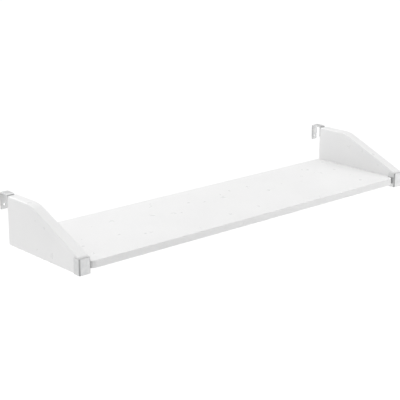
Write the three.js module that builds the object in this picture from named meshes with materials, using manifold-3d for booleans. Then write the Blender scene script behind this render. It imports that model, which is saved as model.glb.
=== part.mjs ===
// Hang-on shelf: two lacquered side panels carry a shelf board between them, and two
// flat-steel hooks hang the whole shelf over a rail. Bent metal caps close the front
// ends of the panels. Millimetres, +X along the shelf, +Y to the back, +Z up. The origin
// is at the middle of the box that the shelf fills, on the level of the panels' feet.
import * as THREE from 'three';
import { mergeVertices } from 'three/addons/utils/BufferGeometryUtils.js';
import Module from 'manifold-3d';

const wasm = await Module();
wasm.setup();

// Clearances
const contactGap = 0.3;          // left between two faces that meet
const boreGap = 0.3;             // all round a pin, screw or dowel in its hole
const holeEndGap = 1;            // beyond the end of a pin in its blind hole
const cutPast = 5;               // how far a cutter runs past the face that it opens

// Fineness of the round faces
const roundSides = 20;           // round a hole or a pin
const arcSteps = 6;              // along each arc of an outline
const edgeSteps = 3;             // across a rounded edge

// Side panels
const overallLength = 1000;      // between the outer faces of the two panels
const panelDepth = 260;
const panelHeight = 110;
const panelThickness = 25;
const panelLevelTop = 89;        // from the back end to the knee
const panelNoseHeight = 38;      // the upright front end, below the slope
const panelKneeRadius = 14;
const panelCornerRadius = 5;
const panelEdgeRadius = 3;

// Shelf board
const boardThickness = 16;
const boardUnderside = 8.5;      // above the panels' feet
const boardEdgeRadius = 1.5;
const boardCornerRadius = 15;    // front corners, in plan
const capRoom = 1.2;             // between a cap's inner leg and the board beside it

// Hooks, bent from flat steel strip
const stripWidth = 18;
const stripThickness = 3;
const stripBendRadius = 1.5;     // inside the bends
const hookRise = 3.5;            // top of the hook above the panel's level top
const railGap = 25;              // between the panel's back end and the hanging leg
const hangingLeg = 40;           // from the top of the hook
const fixedLeg = 27.5;           // from the top of the hook
const hookEndRadius = 3;         // at the two lower corners of the hanging leg
const lockHoleDiameter = 5;
const lockHoleRise = 10.5;       // above the end of the hanging leg
const upperScrewDrop = 9;        // below the top of the hook
const lowerScrewRise = 7.5;      // above the end of the fixed leg

// Front caps, bent from sheet
const capSheet = 1.5;
const capFoot = 0.5;             // above the panels' feet
const capTopDrop = 2.5;          // below the top of the panel's nose
const capLeg = 18;               // along the panel's faces, from the front end
const capBendRadius = 2.5;       // inside the bends
const capScrewInset = 7;         // from the panel's front end

// Countersunk screws of the hooks
const hookScrew = {
  shank: 4,
  head: 7.6,
  headHeight: 1.9,
  length: 30,
  recess: { length: 4.2, width: 1, depth: 1.2 },
};

// Low-headed screws of the caps
const capScrew = {
  shank: 3,
  head: 6,
  headHeight: 1.1,
  length: 14,
  recess: { length: 3.2, width: 0.8, depth: 0.6 },
};

// Cam fittings and dowels between the board and the panels
const boltInset = 70;            // from the board's front and from its back
const dowelInset = 38;           // from the board's front and from its back
const boltThread = { diameter: 6, length: 11 };
const boltShaftDiameter = 6.4;
const boltNeckDiameter = 4;
const boltHead = { diameter: 7, length: 3 };
const camDiameter = 14.4;
const camOverBolt = 4;           // top of a cam above the middle of its bolt
const camSetback = 34;           // from the board's end to the middle of the cam
const camRecess = { length: 8, width: 1.6, depth: 2.5 };
const dowelDiameter = 8;
const dowelInPanel = 11;
const dowelInBoard = 18;
const dowelChamfer = 1;

// Colours and finishes
const whiteLacquer = { color: 0xf3f3f1, roughness: 0.42, metalness: 0 };
const satinZinc = { color: 0xc9cac8, roughness: 0.34, metalness: 1 };
const plainSteel = { color: 0x9d9fa1, roughness: 0.38, metalness: 1 };
const castZinc = { color: 0x8b8d8f, roughness: 0.55, metalness: 1 };
const beech = { color: 0xd8b07c, roughness: 0.7, metalness: 0 };

// Places that several pieces share, measured from the left panel's outer face, the
// panels' front ends and the panels' feet
const rightPanelX = overallLength - panelThickness;
const fittingHeight = boardUnderside + boardThickness / 2;
const boltRows = [boltInset, panelDepth - boltInset];
const dowelRows = [dowelInset, panelDepth - dowelInset];
const hookTop = panelHeight + hookRise;
const hookScrewDrops = [upperScrewDrop, fixedLeg - lowerScrewRise];
const seatHeight = fixedLeg + contactGap;
const seatDepth = stripThickness + contactGap;
const capStandOff = capSheet + contactGap;
const capHeight = panelNoseHeight - capTopDrop - capFoot;
const capNotch = capStandOff + capRoom;
const hookScrewSide = stripWidth / 2;
const camHoleDiameter = camDiameter + 2 * boreGap;
const camHeight = boardThickness / 2 + camOverBolt;

// ---------------------------------------------------------------- solids and cuts

function toSolid(geometry) {
  const bare = geometry.clone();
  bare.deleteAttribute('normal');
  bare.deleteAttribute('uv');
  const merged = mergeVertices(bare, 1e-4);
  return new wasm.Manifold(new wasm.Mesh({
    numProp: 3,
    vertProperties: new Float32Array(merged.attributes.position.array),
    triVerts: new Uint32Array(merged.index.array),
  }));
}

function toGeometry(solid) {
  const mesh = solid.getMesh();
  const geometry = new THREE.BufferGeometry();
  geometry.setAttribute('position', new THREE.BufferAttribute(mesh.vertProperties, 3));
  geometry.setIndex(new THREE.BufferAttribute(mesh.triVerts, 1));
  geometry.computeVertexNormals();
  return geometry;
}

function cutAway(body, cutters) {
  return cutters.reduce((rest, cutter) => rest.subtract(cutter), body);
}

// Turns a shape drawn around +Y so that its +Y points along the given direction.
function pointAlong(geometry, direction) {
  const turn = new THREE.Quaternion().setFromUnitVectors(new THREE.Vector3(0, 1, 0), direction);
  return geometry.applyQuaternion(turn);
}

const toRight = new THREE.Vector3(1, 0, 0);
const toLeft = new THREE.Vector3(-1, 0, 0);
const toFront = new THREE.Vector3(0, -1, 0);
const backward = new THREE.Vector3(0, 1, 0);
const upward = new THREE.Vector3(0, 0, 1);

// A round drill that starts before the point given and goes on by the depth given.
function drill(diameter, depth, start, direction, sides = roundSides) {
  const length = depth + cutPast;
  const tool = new THREE.CylinderGeometry(diameter / 2, diameter / 2, length, sides);
  tool.translate(0, length / 2 - cutPast, 0);
  pointAlong(tool, direction);
  tool.translate(start.x, start.y, start.z);
  return toSolid(tool);
}

function block(low, high) {
  const size = high.clone().sub(low);
  const centre = high.clone().add(low).multiplyScalar(0.5);
  const geometry = new THREE.BoxGeometry(size.x, size.y, size.z);
  geometry.translate(centre.x, centre.y, centre.z);
  return toSolid(geometry);
}

// An outline through the corners given, each [across, up, radius], with arcs at them.
function roundedOutline(corners) {
  const shape = new THREE.Shape();
  corners.forEach(([x, y, radius], index) => {
    const here = new THREE.Vector2(x, y);
    const before = new THREE.Vector2(...corners.at(index - 1).slice(0, 2));
    const after = new THREE.Vector2(...corners[(index + 1) % corners.length].slice(0, 2));
    const back = before.sub(here).normalize();
    const ahead = after.sub(here).normalize();
    const half = Math.acos(back.dot(ahead)) / 2;
    const middle = back.clone().add(ahead).normalize();
    const centre = here.clone().addScaledVector(middle, radius / Math.sin(half));
    const start = here.clone().addScaledVector(back, radius / Math.tan(half)).sub(centre);
    const end = here.clone().addScaledVector(ahead, radius / Math.tan(half)).sub(centre);
    const clockwise = start.cross(end) < 0;
    shape.absarc(centre.x, centre.y, radius, start.angle(), end.angle(), clockwise);
  });
  shape.closePath();
  return shape;
}

// Extrudes an outline along its own +Z, with all of its edges rounded.
function roundedSlab(shape, thickness, edgeRadius) {
  const geometry = new THREE.ExtrudeGeometry(shape, {
    depth: thickness - 2 * edgeRadius,
    curveSegments: arcSteps,
    bevelThickness: edgeRadius,
    bevelSize: edgeRadius,
    bevelOffset: -edgeRadius,
    bevelSegments: edgeSteps,
  });
  return geometry.translate(0, 0, edgeRadius);
}

function plainSlab(shape, thickness) {
  return new THREE.ExtrudeGeometry(shape, {
    depth: thickness,
    curveSegments: arcSteps,
    bevelEnabled: false,
  });
}

// Stands a slab up: its outline's across becomes +Y, its up becomes +Z, its depth +X.
function standAcross(geometry) {
  const turn = new THREE.Matrix4().makeBasis(
    new THREE.Vector3(0, 1, 0),
    new THREE.Vector3(0, 0, 1),
    new THREE.Vector3(1, 0, 0),
  );
  return geometry.applyMatrix4(turn);
}

// The outline of a strip bent to a U: the legs run up from their ends, first and last,
// to the crown between the two sides given.
function bentStripOutline(nearSide, farSide, nearEnd, farEnd, crown, sheet, insideRadius) {
  const outsideRadius = insideRadius + sheet;
  const shape = new THREE.Shape();
  shape.moveTo(nearSide + sheet, nearEnd);
  shape.lineTo(nearSide, nearEnd);
  shape.absarc(nearSide + outsideRadius, crown - outsideRadius, outsideRadius, Math.PI, Math.PI / 2, true);
  shape.absarc(farSide - outsideRadius, crown - outsideRadius, outsideRadius, Math.PI / 2, 0, true);
  shape.lineTo(farSide, farEnd);
  shape.lineTo(farSide - sheet, farEnd);
  shape.absarc(farSide - outsideRadius, crown - outsideRadius, insideRadius, 0, Math.PI / 2, false);
  shape.absarc(nearSide + outsideRadius, crown - outsideRadius, insideRadius, Math.PI / 2, Math.PI, false);
  shape.closePath();
  return shape;
}

// ------------------------------------------------------------------ mesh and finish

const shelf = new THREE.Group();

function addPiece(name, geometry, finish, position, parent = shelf) {
  const material = new THREE.MeshStandardMaterial({ ...finish, flatShading: true });
  const mesh = new THREE.Mesh(geometry, material);
  mesh.name = name;
  mesh.position.copy(position);
  parent.add(mesh);
}

// -------------------------------------------------------------------- side panels

// A panel stands on its foot with its front end at y = 0 and its left face at x = 0. The
// hook's seat is cut into the left half of its back end, on both panels alike.
function sidePanel(innerFaceX, intoPanel) {
  const kneeY = panelDepth - panelLevelTop;
  const outline = roundedOutline([
    [0, 0, panelCornerRadius],
    [panelDepth, 0, panelCornerRadius],
    [panelDepth, panelHeight, panelCornerRadius],
    [kneeY, panelHeight, panelKneeRadius],
    [0, panelNoseHeight, panelCornerRadius],
  ]);
  const body = toSolid(standAcross(roundedSlab(outline, panelThickness, panelEdgeRadius)));
  const cutters = [hookSeat()];
  for (const drop of hookScrewDrops) {
    const start = new THREE.Vector3(hookScrewSide, panelDepth, hookTop - drop);
    const depth = hookScrew.length + holeEndGap;
    cutters.push(drill(hookScrew.shank + 2 * boreGap, depth, start, toFront));
  }
  for (const inset of boltRows) {
    const start = new THREE.Vector3(innerFaceX, inset, fittingHeight);
    const depth = boltThread.length + holeEndGap;
    cutters.push(drill(boltThread.diameter + 2 * boreGap, depth, start, intoPanel));
  }
  for (const inset of dowelRows) {
    const start = new THREE.Vector3(innerFaceX, inset, fittingHeight);
    const depth = dowelInPanel + holeEndGap;
    cutters.push(drill(dowelDiameter + 2 * boreGap, depth, start, intoPanel));
  }
  const screwStart = new THREE.Vector3(innerFaceX, capScrewInset, fittingHeight);
  const screwDepth = capScrew.length - capStandOff + holeEndGap;
  cutters.push(drill(capScrew.shank + 2 * boreGap, screwDepth, screwStart, intoPanel));
  return toGeometry(cutAway(body, cutters));
}

function hookSeat() {
  return block(
    new THREE.Vector3(-cutPast, panelDepth - seatDepth, hookTop - seatHeight),
    new THREE.Vector3(stripWidth + contactGap, panelDepth + cutPast, panelHeight + cutPast),
  );
}

// -------------------------------------------------------------------- shelf board

// The board lies with its front at y = 0, its left end at x = 0 and its underside at
// z = 0. Its front corners are notched and rounded to clear the caps' inner legs.
const boardLength = overallLength - 2 * panelThickness - 2 * contactGap;
const notchSide = capNotch - contactGap;
const notchBack = capLeg + capRoom;

function boardPlan() {
  const radius = boardCornerRadius;
  const rightSide = boardLength - notchSide;
  const shape = new THREE.Shape();
  shape.moveTo(0, panelDepth);
  shape.lineTo(0, notchBack);
  shape.lineTo(notchSide, notchBack);
  shape.absarc(notchSide + radius, radius, radius, Math.PI, 1.5 * Math.PI, false);
  shape.absarc(rightSide - radius, radius, radius, 1.5 * Math.PI, 2 * Math.PI, false);
  shape.lineTo(rightSide, notchBack);
  shape.lineTo(boardLength, notchBack);
  shape.lineTo(boardLength, panelDepth);
  shape.closePath();
  return shape;
}

function shelfBoard() {
  const section = roundedOutline([
    [0, 0, boardEdgeRadius],
    [panelDepth, 0, boardEdgeRadius],
    [panelDepth, boardThickness, boardEdgeRadius],
    [0, boardThickness, boardEdgeRadius],
  ]);
  const bar = toSolid(standAcross(plainSlab(section, boardLength)));
  const plan = toSolid(plainSlab(boardPlan(), boardThickness + 2 * cutPast).translate(0, 0, -cutPast));
  const cutters = [];
  const ends = [
    { x: 0, direction: toRight, camX: camSetback - contactGap },
    { x: boardLength, direction: toLeft, camX: boardLength - camSetback + contactGap },
  ];
  for (const end of ends) {
    for (const inset of boltRows) {
      const boltStart = new THREE.Vector3(end.x, inset, boardThickness / 2);
      cutters.push(drill(boltShaftDiameter + 2 * boreGap, camSetback, boltStart, end.direction));
      const camStart = new THREE.Vector3(end.camX, inset, 0);
      cutters.push(drill(camHoleDiameter, camHeight + contactGap, camStart, upward, 2 * roundSides));
    }
    for (const inset of dowelRows) {
      const start = new THREE.Vector3(end.x, inset, boardThickness / 2);
      const depth = dowelInBoard + holeEndGap;
      cutters.push(drill(dowelDiameter + 2 * boreGap, depth, start, end.direction));
    }
  }
  return toGeometry(cutAway(bar.intersect(plan), cutters));
}

// -------------------------------------------------------------------------- hooks

// A hook hangs with the top of its crown at z = 0, its left edge at x = 0 and the panel's
// back end at y = 0: the fixed leg lies in its seat, the hanging leg is behind the rail.
function hook() {
  const hangingBack = railGap + stripThickness;
  const outline = bentStripOutline(
    -stripThickness, hangingBack, -fixedLeg, -hangingLeg, 0, stripThickness, stripBendRadius,
  );
  const strip = toSolid(standAcross(plainSlab(outline, stripWidth)));
  const front = roundedOutline([
    [0, -hangingLeg, hookEndRadius],
    [stripWidth, -hangingLeg, hookEndRadius],
    [stripWidth, cutPast, hookEndRadius],
    [0, cutPast, hookEndRadius],
  ]);
  const frontView = plainSlab(front, hangingBack + stripThickness + 2 * cutPast);
  frontView.rotateX(Math.PI / 2);
  frontView.translate(0, hangingBack + cutPast, 0);
  const cutters = [];
  const lockStart = new THREE.Vector3(stripWidth / 2, hangingBack, lockHoleRise - hangingLeg);
  cutters.push(drill(lockHoleDiameter, stripThickness + railGap / 2, lockStart, toFront));
  for (const drop of hookScrewDrops) {
    cutters.push(countersink(hookScrew, new THREE.Vector3(hookScrewSide, 0, -drop), toFront));
  }
  return toGeometry(cutAway(strip.intersect(toSolid(frontView)), cutters));
}

// The hole for a countersunk screw, from the face that its head is flush with.
function countersink(screw, start, direction) {
  const headRadius = screw.head / 2 + boreGap;
  const shankRadius = screw.shank / 2 + boreGap;
  const profile = [
    new THREE.Vector2(0, -cutPast),
    new THREE.Vector2(headRadius, -cutPast),
    new THREE.Vector2(headRadius, contactGap),
    new THREE.Vector2(shankRadius, screw.headHeight + contactGap),
    new THREE.Vector2(shankRadius, screw.length),
    new THREE.Vector2(0, screw.length),
  ];
  const tool = pointAlong(new THREE.LatheGeometry(profile, roundSides), direction);
  tool.translate(start.x, start.y, start.z);
  return toSolid(tool);
}

// ------------------------------------------------------------------------- screws

// A cross recess in the head of a screw or a cam, cut inwards from the origin.
function crossRecess(length, width, depth, direction) {
  const arms = [[length, width], [width, length]].map(([across, along]) => {
    const arm = new THREE.BoxGeometry(across, depth + cutPast, along);
    arm.translate(0, (depth - cutPast) / 2, 0);
    return toSolid(pointAlong(arm, direction));
  });
  return arms[0].add(arms[1]);
}

// A wood screw with the top of its head at y = 0 and its point towards +y. Its head is
// flush and countersunk, or low and flat on the face, where the shank starts.
function woodScrew(screw, flush) {
  const tipLength = 1.5 * screw.shank;
  const shankRadius = screw.shank / 2;
  const rim = flush ? contactGap : screw.headHeight;
  const profile = [
    new THREE.Vector2(0, 0),
    new THREE.Vector2(screw.head / 2, 0),
    new THREE.Vector2(screw.head / 2, rim),
    new THREE.Vector2(shankRadius, screw.headHeight + (flush ? contactGap : 0)),
    new THREE.Vector2(shankRadius, screw.length - tipLength),
    new THREE.Vector2(0, screw.length),
  ];
  const body = toSolid(new THREE.LatheGeometry(profile, roundSides));
  const { length, width, depth } = screw.recess;
  return toGeometry(body.subtract(crossRecess(length, width, depth, backward)));
}

// --------------------------------------------------------------------- front caps

// A cap wraps the front end of a panel whose left face is at x = 0 and front end at
// y = 0. Its foot is at z = 0.
function frontCap(screwFaceX, intoPanel) {
  const outline = bentStripOutline(
    -capStandOff, panelThickness + capStandOff, -capLeg, -capLeg, capStandOff, capSheet, capBendRadius,
  );
  const sheet = plainSlab(outline, capHeight);
  sheet.rotateX(Math.PI);
  sheet.translate(0, 0, capHeight);
  const start = new THREE.Vector3(screwFaceX, capScrewInset, fittingHeight - capFoot);
  const hole = drill(capScrew.shank + 2 * boreGap, capStandOff + cutPast, start, intoPanel);
  return toGeometry(toSolid(sheet).subtract(hole));
}

// ------------------------------------------------------------------- cam fittings

// A bolt lies along +y: the thread ends at y = 0, in the panel's face, and the shaft,
// neck and head reach into the board.
function camBolt() {
  const threadRadius = boltThread.diameter / 2;
  const shaftRadius = boltShaftDiameter / 2;
  const neckRadius = boltNeckDiameter / 2;
  const headRadius = boltHead.diameter / 2;
  const shaftEnd = camSetback - camHoleDiameter / 2;
  const headStart = camSetback - boltHead.length / 2;
  const headEnd = camSetback + boltHead.length / 2;
  const profile = [
    new THREE.Vector2(0, -boltThread.length),
    new THREE.Vector2(threadRadius - 1, -boltThread.length),
    new THREE.Vector2(threadRadius, -boltThread.length + 1),
    new THREE.Vector2(threadRadius, contactGap),
    new THREE.Vector2(shaftRadius, contactGap),
    new THREE.Vector2(shaftRadius, shaftEnd),
    new THREE.Vector2(neckRadius, shaftEnd),
    new THREE.Vector2(neckRadius, headStart),
    new THREE.Vector2(headRadius, headStart),
    new THREE.Vector2(headRadius, headEnd - 1),
    new THREE.Vector2(headRadius - 1, headEnd),
    new THREE.Vector2(0, headEnd),
  ];
  return new THREE.LatheGeometry(profile, roundSides);
}

// A cam stands in its hole with its driving face at z = 0. The bolt's head is held in
// the pocket at its middle, and the neck passes out towards the board's end.
function camLock(towardsBolt) {
  const radius = camDiameter / 2;
  const body = new THREE.CylinderGeometry(radius, radius, camHeight, 2 * roundSides);
  pointAlong(body, upward).translate(0, 0, camHeight / 2);
  const centreHeight = boardThickness / 2;
  const headHalf = boltHead.diameter / 2 + boreGap;
  const headReach = boltHead.length / 2 + boreGap;
  const neckHalf = boltNeckDiameter / 2 + boreGap;
  const pocket = block(
    new THREE.Vector3(-headReach, -headHalf, centreHeight - headHalf),
    new THREE.Vector3(headReach, headHalf, centreHeight + headHalf),
  );
  const slot = block(
    new THREE.Vector3(Math.min(0, towardsBolt * camDiameter), -neckHalf, centreHeight - neckHalf),
    new THREE.Vector3(Math.max(0, towardsBolt * camDiameter), neckHalf, centreHeight + neckHalf),
  );
  const cross = crossRecess(camRecess.length, camRecess.width, camRecess.depth, upward);
  return toGeometry(cutAway(toSolid(body), [pocket, slot, cross]));
}

function dowel() {
  const radius = dowelDiameter / 2;
  const profile = [
    new THREE.Vector2(0, -dowelInPanel),
    new THREE.Vector2(radius - dowelChamfer, -dowelInPanel),
    new THREE.Vector2(radius, -dowelInPanel + dowelChamfer),
    new THREE.Vector2(radius, dowelInBoard - dowelChamfer),
    new THREE.Vector2(radius - dowelChamfer, dowelInBoard),
    new THREE.Vector2(0, dowelInBoard),
  ];
  return new THREE.LatheGeometry(profile, roundSides);
}

// ----------------------------------------------------------------------- assembly

const sides = [
  {
    name: 'left',
    panelX: 0,
    innerFaceX: panelThickness,
    intoPanel: toLeft,
    intoBoard: toRight,
  },
  {
    name: 'right',
    panelX: rightPanelX,
    innerFaceX: 0,
    intoPanel: toRight,
    intoBoard: toLeft,
  },
];

const boardX = panelThickness + contactGap;
const boardPlace = new THREE.Vector3(boardX, 0, boardUnderside);
addPiece('shelf_board', shelfBoard(), whiteLacquer, boardPlace);

for (const side of sides) {
  const sideGroup = new THREE.Group();
  sideGroup.position.set(side.panelX, 0, 0);
  shelf.add(sideGroup);

  const panel = sidePanel(side.innerFaceX, side.intoPanel);
  addPiece(`side_panel_${side.name}`, panel, whiteLacquer, new THREE.Vector3(), sideGroup);

  const hookPlace = new THREE.Vector3(0, panelDepth, hookTop);
  addPiece(`hook_${side.name}`, hook(), satinZinc, hookPlace, sideGroup);
  hookScrewDrops.forEach((drop, index) => {
    const screw = pointAlong(woodScrew(hookScrew, true), toFront);
    const place = new THREE.Vector3(hookScrewSide, panelDepth, hookTop - drop);
    const level = index === 0 ? 'upper' : 'lower';
    addPiece(`hook_screw_${side.name}_${level}`, screw, plainSteel, place, sideGroup);
  });

  const cap = frontCap(side.innerFaceX, side.intoPanel);
  addPiece(`front_cap_${side.name}`, cap, satinZinc, new THREE.Vector3(0, 0, capFoot), sideGroup);
  const headX = side.innerFaceX + side.intoBoard.x * (capStandOff + contactGap + capScrew.headHeight);
  const capScrewPlace = new THREE.Vector3(headX, capScrewInset, fittingHeight);
  const capScrewPiece = pointAlong(woodScrew(capScrew, false), side.intoPanel);
  addPiece(`cap_screw_${side.name}`, capScrewPiece, plainSteel, capScrewPlace, sideGroup);

  boltRows.forEach((inset, index) => {
    const row = index === 0 ? 'front' : 'back';
    const boltPlace = new THREE.Vector3(side.innerFaceX, inset, fittingHeight);
    const bolt = pointAlong(camBolt(), side.intoBoard);
    addPiece(`cam_bolt_${side.name}_${row}`, bolt, plainSteel, boltPlace, sideGroup);
    const camX = side.innerFaceX + side.intoBoard.x * camSetback;
    const camPlace = new THREE.Vector3(camX, inset, boardUnderside);
    addPiece(`cam_lock_${side.name}_${row}`, camLock(side.intoPanel.x), castZinc, camPlace, sideGroup);
  });

  dowelRows.forEach((inset, index) => {
    const row = index === 0 ? 'front' : 'back';
    const place = new THREE.Vector3(side.innerFaceX, inset, fittingHeight);
    addPiece(`dowel_${side.name}_${row}`, pointAlong(dowel(), side.intoBoard), beech, place, sideGroup);
  });
}

// The whole shelf is moved so that the middle of its box, at the feet, is the origin.
const frontReach = capStandOff;
const backReach = panelDepth + railGap + stripThickness;
shelf.position.set(-overallLength / 2, (frontReach - backReach) / 2, 0);

export default shelf;
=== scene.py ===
"""A white hang-on shelf: two side panels, a board between them, steel hooks and end caps.

Metres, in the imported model's frame: +X along the board, +Y to the hooks, +Z up. Places and
sizes come from the frame's nodes; a size that no box gives is named where it is used.
"""
import math

import bpy
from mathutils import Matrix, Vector


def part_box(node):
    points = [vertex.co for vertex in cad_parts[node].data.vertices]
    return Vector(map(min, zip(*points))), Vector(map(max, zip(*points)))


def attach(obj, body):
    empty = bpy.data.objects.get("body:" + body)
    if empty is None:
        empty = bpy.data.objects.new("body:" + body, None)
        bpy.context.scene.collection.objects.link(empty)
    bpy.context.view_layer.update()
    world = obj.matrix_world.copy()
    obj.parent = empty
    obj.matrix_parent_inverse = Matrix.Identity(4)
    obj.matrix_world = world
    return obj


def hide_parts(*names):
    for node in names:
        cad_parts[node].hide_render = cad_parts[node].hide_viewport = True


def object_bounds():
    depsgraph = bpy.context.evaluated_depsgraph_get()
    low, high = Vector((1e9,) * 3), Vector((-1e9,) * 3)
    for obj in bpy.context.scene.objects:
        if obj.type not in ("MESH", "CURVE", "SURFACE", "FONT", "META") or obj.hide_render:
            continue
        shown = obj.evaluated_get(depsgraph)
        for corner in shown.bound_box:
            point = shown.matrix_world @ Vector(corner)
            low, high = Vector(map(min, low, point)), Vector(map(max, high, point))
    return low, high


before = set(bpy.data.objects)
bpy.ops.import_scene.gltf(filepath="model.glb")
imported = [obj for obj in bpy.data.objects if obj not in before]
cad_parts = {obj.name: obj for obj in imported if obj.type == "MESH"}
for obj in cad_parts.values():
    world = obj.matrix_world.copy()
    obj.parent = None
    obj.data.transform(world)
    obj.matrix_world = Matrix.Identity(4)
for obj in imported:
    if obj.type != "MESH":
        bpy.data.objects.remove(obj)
cad_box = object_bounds()

# ---------------------------------------------------------------------- side panels
# Two slabs of dense fibreboard, sawn to a slope at the front. All edges are routed round,
# the back end is routed out for the hook, and the inner face is drilled for the fittings.
# They are sprayed with a satin white lacquer.

knee_from_back = 0.089
nose_height = 0.038
knee_radius = 0.014
profile_corner_radius = 0.005
panel_edge_radius = 0.003
joint_gap = 0.0003
fixed_leg_length = 0.0275
strip_thickness = 0.003
hook_screw_radius = 0.002
cap_screw_radius = 0.0015
bolt_thread_radius = 0.003
dowel_radius = 0.004
fitting_hole_depth = 0.012
cap_screw_hole_depth = 0.013
hole_end_room = 0.001
cutter_overrun = 0.004


def deselect_all():
    bpy.ops.object.select_all(action="DESELECT")


def make_active(piece):
    deselect_all()
    piece.select_set(True)
    bpy.context.view_layer.objects.active = piece


def settle(piece):
    """Puts the piece's place, turn and size into its mesh."""
    make_active(piece)
    bpy.ops.object.transform_apply(location=True, rotation=True, scale=True)
    return piece


def block(name, low, high):
    """A block between two corners, the blank that a piece or a cutter starts from."""
    deselect_all()
    centre = (low + high) / 2
    bpy.ops.mesh.primitive_cube_add(size=1, location=centre, scale=high - low)
    blank = bpy.context.object
    blank.name = name
    blank.data.name = name
    return settle(blank)


def select_edges(piece, wanted):
    """Goes into edit mode with the edges selected whose two ends pass the test."""
    make_active(piece)
    bpy.ops.object.mode_set(mode="EDIT")
    bpy.ops.mesh.select_mode(type="EDGE")
    bpy.ops.mesh.select_all(action="DESELECT")
    bpy.ops.object.mode_set(mode="OBJECT")
    corners = piece.data.vertices
    for edge in piece.data.edges:
        first, second = (corners[index].co for index in edge.vertices)
        edge.select = wanted(first, second)
    bpy.ops.object.mode_set(mode="EDIT")


def is_near(a, b):
    return abs(a - b) < 2e-5


def round_profile_corner(piece, y, z, radius, steps):
    """Rounds the edge that runs along X at the given y and z."""
    def along_x(first, second):
        return all(is_near(end.y, y) and is_near(end.z, z) for end in (first, second))

    select_edges(piece, along_x)
    bpy.ops.mesh.bevel(offset=radius, offset_type="OFFSET", segments=steps, affect="EDGES")
    bpy.ops.object.mode_set(mode="OBJECT")


def soften_edges(piece, radius, steps, sharper_than=math.radians(40)):
    """Rounds every edge of the piece that turns by more than the angle given."""
    make_active(piece)
    bpy.ops.object.modifier_add(type="BEVEL")
    softening = piece.modifiers[-1]
    softening.width = radius
    softening.segments = steps
    softening.limit_method = "ANGLE"
    softening.angle_limit = sharper_than
    softening.use_clamp_overlap = False
    bpy.ops.object.modifier_apply(modifier=softening.name)


def cut(piece, cutter):
    """Takes the cutter's shape out of the piece and puts the cutter away."""
    make_active(piece)
    bpy.ops.object.modifier_add(type="BOOLEAN")
    cutting = piece.modifiers[-1]
    cutting.operation = "DIFFERENCE"
    cutting.solver = "EXACT"
    cutting.object = cutter
    bpy.ops.object.modifier_apply(modifier=cutting.name)
    bpy.data.objects.remove(cutter)


def drill(piece, radius, mouth, direction, depth, sides=40):
    """Drills a round hole of the given depth from its mouth along the direction."""
    deselect_all()
    middle = mouth + direction * (depth - cutter_overrun) / 2
    turn = direction.to_track_quat("Z", "Y").to_euler()
    bpy.ops.mesh.primitive_cylinder_add(
        vertices=sides, radius=radius, depth=depth + cutter_overrun, location=middle, rotation=turn
    )
    cut(piece, settle(bpy.context.object))


def smooth_faces(piece, sharper_than=math.radians(35)):
    """Shades round faces smooth and keeps flat faces flat up to their rounded edges."""
    make_active(piece)
    bpy.ops.object.shade_smooth_by_angle(angle=sharper_than)
    bpy.ops.object.modifier_add(type="WEIGHTED_NORMAL")
    weighting = piece.modifiers[-1]
    weighting.keep_sharp = True
    bpy.ops.object.modifier_apply(modifier=weighting.name)


def hand_over(piece, node, material):
    """Gives the piece its finish and lets it stand for its node on the fixed body."""
    piece.data.materials.clear()
    piece.data.materials.append(material)
    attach(piece, "root")
    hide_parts(node)


def new_surface(name):
    """A material with its shader, its node tree and the object's own coordinates."""
    material = bpy.data.materials.new(name)
    material.use_nodes = True
    tree = material.node_tree
    shader = tree.nodes["Principled BSDF"]
    place = tree.nodes.new("ShaderNodeTexCoord").outputs["Object"]
    return material, tree, shader, place


def noise(tree, place, scale, detail, stretch=(1, 1, 1)):
    """A noise pattern over the object, stretched along its axes if asked."""
    mapping = tree.nodes.new("ShaderNodeMapping")
    mapping.inputs["Scale"].default_value = stretch
    tree.links.new(place, mapping.inputs["Vector"])
    pattern = tree.nodes.new("ShaderNodeTexNoise")
    pattern.inputs["Scale"].default_value = scale
    pattern.inputs["Detail"].default_value = detail
    tree.links.new(mapping.outputs["Vector"], pattern.inputs["Vector"])
    return pattern.outputs["Fac"]


def blend_colours(tree, factor, first, second, spread=(0.35, 0.65)):
    """Runs from one colour to the other as the factor crosses the spread."""
    ramp = tree.nodes.new("ShaderNodeValToRGB")
    ramp.color_ramp.elements[0].position = spread[0]
    ramp.color_ramp.elements[0].color = (*first, 1)
    ramp.color_ramp.elements[1].position = spread[1]
    ramp.color_ramp.elements[1].color = (*second, 1)
    tree.links.new(factor, ramp.inputs["Fac"])
    return ramp.outputs["Color"]


def blend_values(tree, factor, low, high):
    """Maps the middle of a noise pattern to a range of values."""
    span = tree.nodes.new("ShaderNodeMapRange")
    span.inputs["From Min"].default_value = 0.3
    span.inputs["From Max"].default_value = 0.7
    span.inputs["To Min"].default_value = low
    span.inputs["To Max"].default_value = high
    tree.links.new(factor, span.inputs["Value"])
    return span.outputs["Result"]


def add_bump(tree, shader, height, strength, depth, under=None):
    """Lays a bump over the shader's surface, and over another bump if given."""
    bump = tree.nodes.new("ShaderNodeBump")
    bump.inputs["Strength"].default_value = strength
    bump.inputs["Distance"].default_value = depth
    tree.links.new(height, bump.inputs["Height"])
    if under is not None:
        tree.links.new(under, bump.inputs["Normal"])
    tree.links.new(bump.outputs["Normal"], shader.inputs["Normal"])
    return bump.outputs["Normal"]


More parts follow.
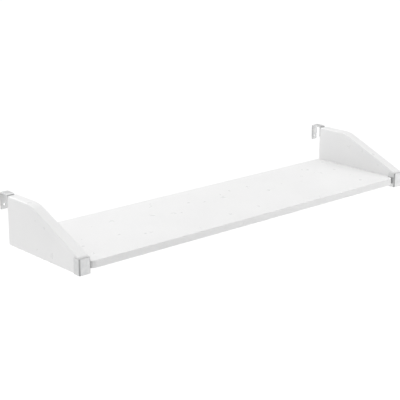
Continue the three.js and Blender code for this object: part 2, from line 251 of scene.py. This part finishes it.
def white_lacquer():
    """Sprayed satin lacquer: nearly even white, a faint orange peel and a soft gloss."""
    material, tree, shader, place = new_surface("white_lacquer")
    cloud = noise(tree, place, scale=9, detail=3)
    white = blend_colours(tree, cloud, (0.742, 0.742, 0.742), (0.756, 0.756, 0.755))
    tree.links.new(white, shader.inputs["Base Color"])
    gloss = noise(tree, place, scale=34, detail=4)
    tree.links.new(blend_values(tree, gloss, 0.27, 0.35), shader.inputs["Roughness"])
    shader.inputs["Specular IOR Level"].default_value = 0.45
    shader.inputs["Coat Weight"].default_value = 0.12
    shader.inputs["Coat Roughness"].default_value = 0.22
    flow = noise(tree, place, scale=60, detail=1)
    levelled = add_bump(tree, shader, flow, strength=0.08, depth=0.0004)
    peel = noise(tree, place, scale=620, detail=1)
    add_bump(tree, shader, peel, strength=0.06, depth=0.00008, under=levelled)
    return material


lacquer = white_lacquer()


def cut_hook_seat(panel, side):
    """Routs out the back end of the panel, where the hook's fixed leg is let in flush."""
    panel_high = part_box(f"side_panel_{side}")[1]
    hook_low, hook_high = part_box(f"hook_{side}")
    seat_floor = hook_high.z - fixed_leg_length - joint_gap
    seat_front = panel_high.y - strip_thickness - joint_gap
    low = Vector((hook_low.x - cutter_overrun, seat_front, seat_floor))
    high = Vector((hook_high.x + joint_gap, panel_high.y + cutter_overrun, hook_high.z))
    cut(panel, block("seat_cutter", low, high))


def drill_for(piece, node, radius, mouth_x, direction, depth):
    """Drills the hole of a pin that lies along X, on that pin's own line."""
    low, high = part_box(node)
    middle = (low + high) / 2
    drill(piece, radius + joint_gap, Vector((mouth_x, middle.y, middle.z)), direction, depth)


def side_panel(side, inner_x, outward):
    low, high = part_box(f"side_panel_{side}")
    panel = block(f"panel_{side}", low, high)

    knee = Vector((low.x, high.y - knee_from_back, high.z))
    nose_top = Vector((low.x, low.y, low.z + nose_height))
    slope = knee - nose_top
    bpy.ops.object.mode_set(mode="EDIT")
    bpy.ops.mesh.select_all(action="SELECT")
    above_slope = Vector((0, -slope.z, slope.y)).normalized()
    bpy.ops.mesh.bisect(plane_co=knee, plane_no=above_slope, use_fill=True, clear_outer=True)
    bpy.ops.object.mode_set(mode="OBJECT")

    round_profile_corner(panel, knee.y, knee.z, knee_radius, steps=8)
    for y, z in ((low.y, low.z), (high.y, low.z), (high.y, high.z), (nose_top.y, nose_top.z)):
        round_profile_corner(panel, y, z, profile_corner_radius, steps=6)
    soften_edges(panel, panel_edge_radius, steps=6)

    cut_hook_seat(panel, side)
    for level in ("upper", "lower"):
        screw_low, screw_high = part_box(f"hook_screw_{side}_{level}")
        middle = (screw_low + screw_high) / 2
        mouth = Vector((middle.x, high.y, middle.z))
        depth = high.y - screw_low.y + hole_end_room
        drill(panel, hook_screw_radius + joint_gap, mouth, Vector((0, -1, 0)), depth)
    into = Vector((outward, 0, 0))
    for row in ("front", "back"):
        bolt = f"cam_bolt_{side}_{row}"
        drill_for(panel, bolt, bolt_thread_radius, inner_x, into, fitting_hole_depth)
        dowel = f"dowel_{side}_{row}"
        drill_for(panel, dowel, dowel_radius, inner_x, into, fitting_hole_depth)
    drill_for(panel, f"cap_screw_{side}", cap_screw_radius, inner_x, into, cap_screw_hole_depth)

    smooth_faces(panel)
    hand_over(panel, f"side_panel_{side}", lacquer)


inner_faces = {
    "left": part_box("side_panel_left")[1].x,
    "right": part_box("side_panel_right")[0].x,
}
side_panel("left", inner_faces["left"], outward=-1)
side_panel("right", inner_faces["right"], outward=1)

# ---------------------------------------------------------------------- shelf board
# One fibreboard plank between the panels, flush with them at the front and the back. Its
# long edges are routed round, and its front corners are notched and rounded so that it
# clears the caps' inner legs. The same lacquer covers it.

notch_side = 0.0029
notch_back = 0.0192
plan_corner_radius = 0.015
board_edge_radius = 0.0015
end_edge_share = 0.12
end_overlength = 0.0002
bolt_passage_radius = 0.0032
bolt_passage_depth = 0.034
board_dowel_depth = 0.019


def notch_front_corner(board, corner_x, inward):
    """Cuts the notch beside a cap and rounds the corner that is left."""
    low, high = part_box("shelf_board")
    notch_x = corner_x + inward * notch_side
    overrun_x = corner_x - inward * cutter_overrun
    cutter_low = Vector((min(notch_x, overrun_x), low.y - cutter_overrun, low.z - cutter_overrun))
    cutter_high = Vector((max(notch_x, overrun_x), low.y + notch_back, high.z + cutter_overrun))
    cut(board, block("notch_cutter", cutter_low, cutter_high))

    def upright(first, second):
        return all(is_near(end.x, notch_x) and is_near(end.y, low.y) for end in (first, second))

    select_edges(board, upright)
    bpy.ops.mesh.bevel(offset=plan_corner_radius, segments=14, affect="EDGES")
    bpy.ops.object.mode_set(mode="OBJECT")


def round_board_edges(board):
    """Rounds the long edges and the front corners' rims, and just eases the two ends."""
    weights = board.data.attributes.new("bevel_weight_edge", "FLOAT", "EDGE")
    corners = board.data.vertices
    for edge in board.data.edges:
        first, second = (corners[index].co for index in edge.vertices)
        on_face = is_near(first.z, second.z)
        at_end = is_near(first.x, second.x)
        if on_face:
            weights.data[edge.index].value = end_edge_share if at_end else 1.0
    make_active(board)
    bpy.ops.object.modifier_add(type="BEVEL")
    rounding = board.modifiers[-1]
    rounding.width = board_edge_radius
    rounding.segments = 5
    rounding.limit_method = "WEIGHT"
    bpy.ops.object.modifier_apply(modifier=rounding.name)


def shelf_board():
    low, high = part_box("shelf_board")
    low.x -= end_overlength
    high.x += end_overlength
    board = block("board", low, high)
    notch_front_corner(board, low.x, inward=1)
    notch_front_corner(board, high.x, inward=-1)
    round_board_edges(board)
    for side, end_x, inward in (("left", low.x, 1), ("right", high.x, -1)):
        into = Vector((inward, 0, 0))
        for row in ("front", "back"):
            bolt = f"cam_bolt_{side}_{row}"
            drill_for(board, bolt, bolt_passage_radius, end_x, into, bolt_passage_depth)
            dowel = f"dowel_{side}_{row}"
            drill_for(board, dowel, dowel_radius, end_x, into, board_dowel_depth)
            cam_low, cam_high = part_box(f"cam_lock_{side}_{row}")
            middle = (cam_low + cam_high) / 2
            mouth = Vector((middle.x, middle.y, low.z))
            radius = (cam_high.x - cam_low.x) / 2 + joint_gap
            depth = cam_high.z - low.z + joint_gap
            drill(board, radius, mouth, Vector((0, 0, 1)), depth, sides=64)
    smooth_faces(board)
    hand_over(board, "shelf_board", lacquer)


shelf_board()

# ---------------------------------------------------------------------------- hooks
# Flat steel strip, bent twice to an upside-down U and zinc plated. The fixed leg lies in
# the panel's back end; the hanging leg goes down behind the rail and has a hole for a
# lock screw. Both legs are punched before the strip is bent.

inside_bend_radius = 0.0015
bend_steps = 8
hook_end_radius = 0.003
strip_edge_radius = 0.00035
lock_hole_radius = 0.0025
lock_hole_rise = 0.0105
screw_head_radius = 0.0038
screw_head_height = 0.0019
drill_run_out = 0.001


def painted_reflection_mask(tree):
    """Mask of the painted dark reflection: 0 on the flats, 1 in the middle of an upright bend or of
    an upright rounded edge.
    """
    normal = tree.nodes.new("ShaderNodeNewGeometry").outputs["Normal"]
    split = tree.nodes.new("ShaderNodeSeparateXYZ")
    tree.links.new(normal, split.inputs["Vector"])
    product = tree.nodes.new("ShaderNodeMath")
    product.operation = "MULTIPLY"
    tree.links.new(split.outputs["X"], product.inputs[0])
    tree.links.new(split.outputs["Y"], product.inputs[1])
    size = tree.nodes.new("ShaderNodeMath")
    size.operation = "ABSOLUTE"
    tree.links.new(product.outputs["Value"], size.inputs[0])
    span = tree.nodes.new("ShaderNodeMapRange")
    span.inputs["From Min"].default_value = 0.12
    span.inputs["From Max"].default_value = 0.5
    tree.links.new(size.outputs["Value"], span.inputs["Value"])
    return span.outputs["Result"]


def satin_zinc():
    """Zinc plate: fine drawn lines along X, softly uneven gloss, and a painted dark reflection that
    darkens the base colour on its upright bends.
    """
    material, tree, shader, place = new_surface("satin_zinc")
    cloud = noise(tree, place, scale=110, detail=4)
    flats = blend_colours(tree, cloud, (0.61, 0.614, 0.618), (0.67, 0.672, 0.67))
    # Painted dark reflection: a darker copy of the zinc colour, mixed in on the upright bends and
    # rounded edges where they would mirror a dark surrounding.
    painted_dark_reflection = blend_colours(tree, cloud, (0.30, 0.303, 0.307), (0.36, 0.362, 0.36))
    reflection_mix = tree.nodes.new("ShaderNodeMix")
    reflection_mix.data_type = "RGBA"
    tree.links.new(painted_reflection_mask(tree), reflection_mix.inputs["Factor"])
    first_colour, second_colour = [socket for socket in reflection_mix.inputs if socket.type == "RGBA"]
    tree.links.new(flats, first_colour)
    tree.links.new(painted_dark_reflection, second_colour)
    mixed = next(socket for socket in reflection_mix.outputs if socket.type == "RGBA")
    tree.links.new(mixed, shader.inputs["Base Color"])
    shader.inputs["Metallic"].default_value = 1.0
    drawn = noise(tree, place, scale=900, detail=3, stretch=(0.05, 1, 1))
    tree.links.new(blend_values(tree, drawn, 0.30, 0.42), shader.inputs["Roughness"])
    lines = add_bump(tree, shader, drawn, strength=0.12, depth=0.00006)
    grain = noise(tree, place, scale=1900, detail=2)
    add_bump(tree, shader, grain, strength=0.08, depth=0.00003, under=lines)
    return material


zinc = satin_zinc()


def select_end_face(piece, direction):
    """Goes into edit mode with only the face selected that lies furthest that way."""
    make_active(piece)
    bpy.ops.object.mode_set(mode="EDIT")
    bpy.ops.mesh.select_mode(type="FACE")
    bpy.ops.mesh.select_all(action="DESELECT")
    bpy.ops.object.mode_set(mode="OBJECT")
    facing = [face for face in piece.data.polygons if face.normal.dot(direction) > 0.99]
    furthest = max(facing, key=lambda face: face.center.dot(direction))
    furthest.select = True
    bpy.ops.object.mode_set(mode="EDIT")


def bend(centre, axis, angle):
    bpy.ops.mesh.spin(steps=bend_steps, angle=angle, center=centre, axis=axis)


def run_on(distance):
    bpy.ops.mesh.extrude_region_move(TRANSFORM_OT_translate={"value": distance})


def tidy_mesh(piece):
    """Merges doubles and turns all faces outwards."""
    make_active(piece)
    bpy.ops.object.mode_set(mode="EDIT")
    bpy.ops.mesh.select_all(action="SELECT")
    bpy.ops.mesh.remove_doubles(threshold=1e-6)
    bpy.ops.mesh.normals_make_consistent(inside=False)
    bpy.ops.object.mode_set(mode="OBJECT")


def countersink(piece, mouth, direction):
    """Cuts the hole of a countersunk screw whose head is flush with the face."""
    depth = screw_head_height + joint_gap
    through_strip = strip_thickness + drill_run_out
    drill(piece, hook_screw_radius + joint_gap, mouth, direction, through_strip)
    deselect_all()
    turn = direction.to_track_quat("Z", "Y").to_euler()
    bpy.ops.mesh.primitive_cone_add(
        vertices=40,
        radius1=screw_head_radius + joint_gap,
        radius2=hook_screw_radius + joint_gap,
        depth=screw_head_height,
        location=mouth + direction * (depth + joint_gap) / 2,
        rotation=turn,
    )
    cone = bpy.context.object
    settle(cone)
    select_end_face(cone, -direction)
    run_on(-direction * cutter_overrun)
    bpy.ops.object.mode_set(mode="OBJECT")
    cut(piece, cone)


def hook(side):
    low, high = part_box(f"hook_{side}")
    panel_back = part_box(f"side_panel_{side}")[1].y
    outside_bend_radius = inside_bend_radius + strip_thickness
    bend_height = high.z - outside_bend_radius
    leg_low = Vector((low.x, low.y, high.z - fixed_leg_length))
    leg_high = Vector((high.x, low.y + strip_thickness, bend_height))
    strip = block(f"steel_hook_{side}", leg_low, leg_high)

    select_end_face(strip, Vector((0, 0, 1)))
    near_centre = Vector((low.x, low.y + outside_bend_radius, bend_height))
    far_centre = Vector((low.x, high.y - outside_bend_radius, bend_height))
    bend(near_centre, (1, 0, 0), math.pi / 2)
    run_on(far_centre - near_centre)
    bend(far_centre, (1, 0, 0), math.pi / 2)
    run_on(Vector((0, 0, low.z - bend_height)))
    bpy.ops.object.mode_set(mode="OBJECT")
    tidy_mesh(strip)

    def lower_corner(first, second):
        return all(is_near(end.z, low.z) for end in (first, second)) and is_near(first.x, second.x)

    select_edges(strip, lower_corner)
    bpy.ops.mesh.bevel(offset=hook_end_radius, segments=8, affect="EDGES")
    bpy.ops.object.mode_set(mode="OBJECT")

    middle_x = (low.x + high.x) / 2
    lock_mouth = Vector((middle_x, high.y, low.z + lock_hole_rise))
    toward_panel = Vector((0, -1, 0))
    through_strip = strip_thickness + drill_run_out
    drill(strip, lock_hole_radius, lock_mouth, toward_panel, through_strip, sides=48)
    for level in ("upper", "lower"):
        screw_low, screw_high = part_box(f"hook_screw_{side}_{level}")
        middle = (screw_low + screw_high) / 2
        countersink(strip, Vector((middle.x, panel_back, middle.z)), toward_panel)
    soften_edges(strip, strip_edge_radius, steps=3)
    smooth_faces(strip)
    hand_over(strip, f"hook_{side}", zinc)


hook("left")
hook("right")

# ---------------------------------------------------------------------- hook screws
# Countersunk wood screws, two to a hook, driven into the panel's back end through the
# fixed leg. Their heads lie flush with it and have a cross recess.

recess_length = 0.0042
recess_width = 0.0010
recess_depth = 0.0012
tip_length_to_radius = 3
tip_share = 0.12


def screw_steel():
    """Bright zinc-plated steel with fine turned rings and a little uneven gloss."""
    material, tree, shader, place = new_surface("screw_steel")
    cloud = noise(tree, place, scale=600, detail=3)
    grey = blend_colours(tree, cloud, (0.56, 0.57, 0.58), (0.68, 0.685, 0.69))
    tree.links.new(grey, shader.inputs["Base Color"])
    shader.inputs["Metallic"].default_value = 1.0
    tree.links.new(blend_values(tree, cloud, 0.24, 0.38), shader.inputs["Roughness"])
    fine = noise(tree, place, scale=2600, detail=2)
    add_bump(tree, shader, fine, strength=0.15, depth=0.00003)
    return material


steel = screw_steel()


def cut_cross(piece, face_point, direction, length, width, depth):
    """Cuts a cross recess into a face, in the two axes that lie across the direction."""
    axes = [axis for axis in (Vector((1, 0, 0)), Vector((0, 1, 0)), Vector((0, 0, 1)))
            if abs(axis.dot(direction)) < 0.5]
    for first, second in (axes, reversed(axes)):
        spread = first * length / 2 + second * width / 2
        outer = face_point - direction * cutter_overrun
        inner = face_point + direction * depth
        corners = (outer - spread, outer + spread, inner - spread, inner + spread)
        low = Vector(min(corner[i] for corner in corners) for i in range(3))
        high = Vector(max(corner[i] for corner in corners) for i in range(3))
        cut(piece, block("cross_cutter", low, high))


def hook_screw(side, level):
    node = f"hook_screw_{side}_{level}"
    low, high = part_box(node)
    middle = (low + high) / 2
    length = high.y - low.y
    tip_length = tip_length_to_radius * hook_screw_radius
    deselect_all()
    bpy.ops.mesh.primitive_cone_add(
        vertices=48,
        radius1=screw_head_radius,
        radius2=hook_screw_radius,
        depth=screw_head_height,
        location=(middle.x, high.y - screw_head_height / 2, middle.z),
        rotation=Vector((0, -1, 0)).to_track_quat("Z", "Y").to_euler(),
    )
    screw = bpy.context.object
    screw.name = f"wood_{node}"
    screw.data.name = screw.name
    settle(screw)
    into_wood = Vector((0, -1, 0))
    select_end_face(screw, into_wood)
    run_on(into_wood * (length - screw_head_height - tip_length))
    run_on(into_wood * tip_length)
    tip = (middle.x, low.y, middle.z)
    bpy.ops.transform.resize(value=(tip_share, 1, tip_share), center_override=tip)
    bpy.ops.object.mode_set(mode="OBJECT")
    face_point = Vector((middle.x, high.y, middle.z))
    cut_cross(screw, face_point, into_wood, recess_length, recess_width, recess_depth)
    smooth_faces(screw)
    hand_over(screw, node, steel)


for side in ("left", "right"):
    for level in ("upper", "lower"):
        hook_screw(side, level)

# ----------------------------------------------------------------------- front caps
# Thin zinc-plated sheet, bent to a U and pushed over the panel's nose. One screw through
# the inner leg, in the board's notch, holds it.

cap_sheet = 0.0015
cap_inside_bend_radius = 0.0025
cap_edge_radius = 0.0003


def front_cap(side, outward):
    low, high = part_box(f"front_cap_{side}")
    outside_bend_radius = cap_inside_bend_radius + cap_sheet
    bend_y = low.y + outside_bend_radius
    leg_low = Vector((low.x, bend_y, low.z))
    leg_high = Vector((low.x + cap_sheet, high.y, high.z))
    cap = block(f"end_cap_{side}", leg_low, leg_high)

    select_end_face(cap, Vector((0, -1, 0)))
    left_centre = Vector((low.x + outside_bend_radius, bend_y, low.z))
    right_centre = Vector((high.x - outside_bend_radius, bend_y, low.z))
    bend(left_centre, (0, 0, 1), -math.pi / 2)
    run_on(right_centre - left_centre)
    bend(right_centre, (0, 0, 1), -math.pi / 2)
    run_on(Vector((0, high.y - bend_y, 0)))
    bpy.ops.object.mode_set(mode="OBJECT")
    tidy_mesh(cap)

    screw_low, screw_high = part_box(f"cap_screw_{side}")
    middle = (screw_low + screw_high) / 2
    leg_face_x = high.x if outward < 0 else low.x
    mouth = Vector((leg_face_x, middle.y, middle.z))
    through_sheet = cap_sheet + drill_run_out
    drill(cap, cap_screw_radius + joint_gap, mouth, Vector((outward, 0, 0)), through_sheet)
    soften_edges(cap, cap_edge_radius, steps=3)
    smooth_faces(cap)
    hand_over(cap, f"front_cap_{side}", zinc)


front_cap("left", outward=-1)
front_cap("right", outward=1)

# ----------------------------------------------------------------------- cap screws
# Short screws with a low flat head, which sits on the cap's inner leg behind the board's
# rounded corner.

cap_screw_head_height = 0.0011
cap_screw_edge_radius = 0.0003
cap_recess_length = 0.0032
cap_recess_width = 0.0008
cap_recess_depth = 0.0006


def cap_screw(side, outward):
    node = f"cap_screw_{side}"
    low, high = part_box(node)
    middle = (low + high) / 2
    head_radius = (high.y - low.y) / 2
    length = high.x - low.x
    into_panel = Vector((outward, 0, 0))
    head_x = high.x if outward < 0 else low.x
    deselect_all()
    bpy.ops.mesh.primitive_cylinder_add(
        vertices=48,
        radius=head_radius,
        depth=cap_screw_head_height,
        location=Vector((head_x, middle.y, middle.z)) + into_panel * cap_screw_head_height / 2,
        rotation=into_panel.to_track_quat("Z", "Y").to_euler(),
    )
    screw = bpy.context.object
    screw.name = f"low_{node}"
    screw.data.name = screw.name
    settle(screw)
    soften_edges(screw, cap_screw_edge_radius, steps=3)
    select_end_face(screw, into_panel)
    bpy.ops.mesh.inset(thickness=head_radius - cap_screw_radius - cap_screw_edge_radius)
    tip_length = tip_length_to_radius * cap_screw_radius
    run_on(into_panel * (length - cap_screw_head_height - tip_length))
    run_on(into_panel * tip_length)
    tip_centre = (head_x + outward * length, middle.y, middle.z)
    bpy.ops.transform.resize(value=(1, tip_share, tip_share), center_override=tip_centre)
    bpy.ops.object.mode_set(mode="OBJECT")
    face_point = Vector((head_x, middle.y, middle.z))
    cut_cross(screw, face_point, into_panel, cap_recess_length, cap_recess_width, cap_recess_depth)
    smooth_faces(screw)
    hand_over(screw, node, steel)


cap_screw("left", outward=-1)
cap_screw("right", outward=1)

# ------------------------------------------------------------------------ cam locks
# Die-cast zinc drums in the board's underside. A cross-head driver turns each one, and
# its pocket draws the bolt's head in, which pulls the panel against the board's end.

cam_edge_radius = 0.0003
cam_rim = 0.0011
cam_dish = 0.0004
cam_cross_length = 0.008
cam_cross_width = 0.0016
cam_cross_depth = 0.0025
bolt_head_radius = 0.0035
bolt_head_length = 0.003
bolt_neck_radius = 0.002


def cast_zinc():
    """Bare cast zinc: dull, mottled grey with the fine pits of the mould."""
    material, tree, shader, place = new_surface("cast_zinc")
    cloud = noise(tree, place, scale=420, detail=5)
    grey = blend_colours(tree, cloud, (0.40, 0.41, 0.42), (0.55, 0.555, 0.56))
    tree.links.new(grey, shader.inputs["Base Color"])
    shader.inputs["Metallic"].default_value = 0.85
    tree.links.new(blend_values(tree, cloud, 0.45, 0.62), shader.inputs["Roughness"])
    pits = noise(tree, place, scale=1500, detail=3)
    add_bump(tree, shader, pits, strength=0.3, depth=0.00008)
    return material


casting = cast_zinc()


def cam_lock(side, row, toward_end):
    node = f"cam_lock_{side}_{row}"
    low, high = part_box(node)
    middle = (low + high) / 2
    bolt_low, bolt_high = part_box(f"cam_bolt_{side}_{row}")
    bolt_z = (bolt_low.z + bolt_high.z) / 2
    deselect_all()
    bpy.ops.mesh.primitive_cylinder_add(
        vertices=64, radius=(high.x - low.x) / 2, depth=high.z - low.z, location=middle
    )
    cam = bpy.context.object
    cam.name = f"cast_{node}"
    cam.data.name = cam.name
    settle(cam)
    soften_edges(cam, cam_edge_radius, steps=3)
    select_end_face(cam, Vector((0, 0, -1)))
    bpy.ops.mesh.inset(thickness=cam_rim)
    run_on(Vector((0, 0, cam_dish)))
    bpy.ops.object.mode_set(mode="OBJECT")

    head_room = Vector((bolt_head_length / 2, bolt_head_radius, bolt_head_radius))
    head_room += Vector((joint_gap, joint_gap, joint_gap))
    bolt_centre = Vector((middle.x, middle.y, bolt_z))
    cut(cam, block("pocket_cutter", bolt_centre - head_room, bolt_centre + head_room))
    neck_room = bolt_neck_radius + joint_gap
    slot_end = middle.x + toward_end * (high.x - low.x)
    slot_low = Vector((min(middle.x, slot_end), middle.y - neck_room, bolt_z - neck_room))
    slot_high = Vector((max(middle.x, slot_end), middle.y + neck_room, bolt_z + neck_room))
    cut(cam, block("slot_cutter", slot_low, slot_high))
    face_point = Vector((middle.x, middle.y, low.z))
    cut_cross(cam, face_point, Vector((0, 0, 1)), cam_cross_length, cam_cross_width, cam_cross_depth)
    smooth_faces(cam)
    hand_over(cam, node, casting)


for row in ("front", "back"):
    cam_lock("left", row, toward_end=-1)
    cam_lock("right", row, toward_end=1)

# ---------------------------------------------------------------- cam bolts, dowels
# Turned steel bolts screwed into the panels, and plain beech dowels beside them. All of
# them are hidden in their holes, so the frame's own solids stay and only get a finish.


def beech():
    """Plain beech: pale brown, with fine streaks along the dowel."""
    material, tree, shader, place = new_surface("beech")
    streaks = noise(tree, place, scale=700, detail=4, stretch=(0.06, 1, 1))
    brown = blend_colours(tree, streaks, (0.55, 0.37, 0.21), (0.74, 0.55, 0.36))
    tree.links.new(brown, shader.inputs["Base Color"])
    tree.links.new(blend_values(tree, streaks, 0.6, 0.75), shader.inputs["Roughness"])
    add_bump(tree, shader, streaks, strength=0.3, depth=0.0001)
    return material


def refinish(node, material):
    """Gives one of the frame's own solids a new finish."""
    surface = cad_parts[node].data.materials
    surface.clear()
    surface.append(material)


dowel_wood = beech()
for side in ("left", "right"):
    for row in ("front", "back"):
        refinish(f"cam_bolt_{side}_{row}", steel)
        refinish(f"dowel_{side}_{row}", dowel_wood)

# --------------------------------------------------------------- floor, light, camera
# A wide pale floor well below the shelf, which hangs. The studio is white low down all
# round, less so in front, and has a bright ceiling that leans to the back. One lamp adds
# light from the front right, and a second one from behind and above, towards the left.

floor_drop = 1.6
floor_half_width = 60
white_wall_rise = 0.18
wall_level = 1.0
front_wall_loss = 0.7
room_level = 0.05
ceiling_level = 1.95
ceiling_lean = math.radians(15)
left_level = 0.35
back_level = 0.1
right_lamp_place = Vector((1.3, -1.6, 0.3))
right_lamp_side = 1.0
right_lamp_power = 10
back_lamp_place = Vector((-0.45, 1.5, 0.9))
back_lamp_side = 0.6
back_lamp_power = 6


def pale_floor():
    material, tree, shader, place = new_surface("pale_floor")
    cloud = noise(tree, place, scale=0.8, detail=2)
    white = blend_colours(tree, cloud, (0.93, 0.93, 0.93), (0.95, 0.95, 0.95))
    tree.links.new(white, shader.inputs["Base Color"])
    shader.inputs["Roughness"].default_value = 0.9
    shader.inputs["Specular IOR Level"].default_value = 0.1
    return material


deselect_all()
floor_place = (0, 0, cad_box[0].z - floor_drop)
bpy.ops.mesh.primitive_plane_add(size=2 * floor_half_width, location=floor_place)
floor = bpy.context.object
floor.name = "floor"
floor.data.materials.append(pale_floor())


def light_room():
    """A room whose brightness depends on the direction: wall, ceiling, left and back."""
    world = bpy.data.worlds.new("room")
    bpy.context.scene.world = world
    world.use_nodes = True
    tree = world.node_tree
    direction = tree.nodes.new("ShaderNodeTexCoord").outputs["Generated"]
    split = tree.nodes.new("ShaderNodeSeparateXYZ")
    tree.links.new(direction, split.inputs["Vector"])
    x, y, z = split.outputs

    def work_out(operation, first, second):
        step = tree.nodes.new("ShaderNodeMath")
        step.operation = operation
        for socket, value in zip(step.inputs, (first, second)):
            if isinstance(value, (int, float)):
                socket.default_value = value
            else:
                tree.links.new(value, socket)
        return step.outputs["Value"]

    leftward = work_out("MAXIMUM", work_out("MULTIPLY", x, -1), 0)
    frontward = work_out("MAXIMUM", work_out("MULTIPLY", y, -1), 0)
    backward = work_out("MAXIMUM", y, 0)
    wall = work_out("SUBTRACT", wall_level, work_out("MULTIPLY", frontward, front_wall_loss))
    wall = work_out("MULTIPLY", wall, work_out("LESS_THAN", z, white_wall_rise))
    overhead = work_out("MULTIPLY", z, math.cos(ceiling_lean))
    behind = work_out("MULTIPLY", y, math.sin(ceiling_lean))
    facing_ceiling = work_out("MAXIMUM", work_out("ADD", overhead, behind), 0)
    ceiling = work_out("MULTIPLY", work_out("POWER", facing_ceiling, 2), ceiling_level)
    from_left = work_out("MULTIPLY", leftward, left_level)
    from_back = work_out("MULTIPLY", backward, back_level)
    sides = work_out("ADD", from_left, from_back)
    level = work_out("ADD", work_out("ADD", wall, ceiling), work_out("ADD", sides, room_level))
    above_floor = work_out("MULTIPLY", level, work_out("GREATER_THAN", z, 0))
    background = tree.nodes["Background"]
    tree.links.new(above_floor, background.inputs["Strength"])
    background.inputs["Color"].default_value = (1, 1, 1, 1)


def soft_lamp(name, place, side_length, power):
    """A square lamp that shines at the middle of the shelf."""
    lamp_data = bpy.data.lights.new(name, "AREA")
    lamp_data.shape = "SQUARE"
    lamp_data.size = side_length
    lamp_data.energy = power
    lamp = bpy.data.objects.new(name, lamp_data)
    bpy.context.scene.collection.objects.link(lamp)
    lamp.location = place
    lamp.rotation_euler = (middle_of_shelf - place).to_track_quat("-Z", "Y").to_euler()


light_room()
middle_of_shelf = (cad_box[0] + cad_box[1]) / 2
soft_lamp("right_lamp", right_lamp_place, right_lamp_side, right_lamp_power)
soft_lamp("back_lamp", back_lamp_place, back_lamp_side, back_lamp_power)

camera_azimuth = math.radians(-41.5)
camera_elevation = math.radians(16.6)
camera_distance = 2.678
camera_lens = 102.8
framing_right = -0.0405
framing_up = -0.0274
camera_reach = 200

camera_data = bpy.data.cameras.new("camera")
camera_data.lens = camera_lens
camera_data.clip_end = camera_reach
camera = bpy.data.objects.new("camera", camera_data)
bpy.context.scene.collection.objects.link(camera)
bpy.context.scene.camera = camera
outward = Vector((
    math.sin(camera_azimuth) * math.cos(camera_elevation),
    -math.cos(camera_azimuth) * math.cos(camera_elevation),
    math.sin(camera_elevation),
))
to_right = Vector((math.cos(camera_azimuth), math.sin(camera_azimuth), 0))
upwards = outward.cross(to_right)
aim = middle_of_shelf + to_right * framing_right + upwards * framing_up
camera.location = aim + outward * camera_distance
camera.rotation_euler = (-outward).to_track_quat("-Z", "Y").to_euler()

bpy.context.scene.view_settings.view_transform = "Standard"
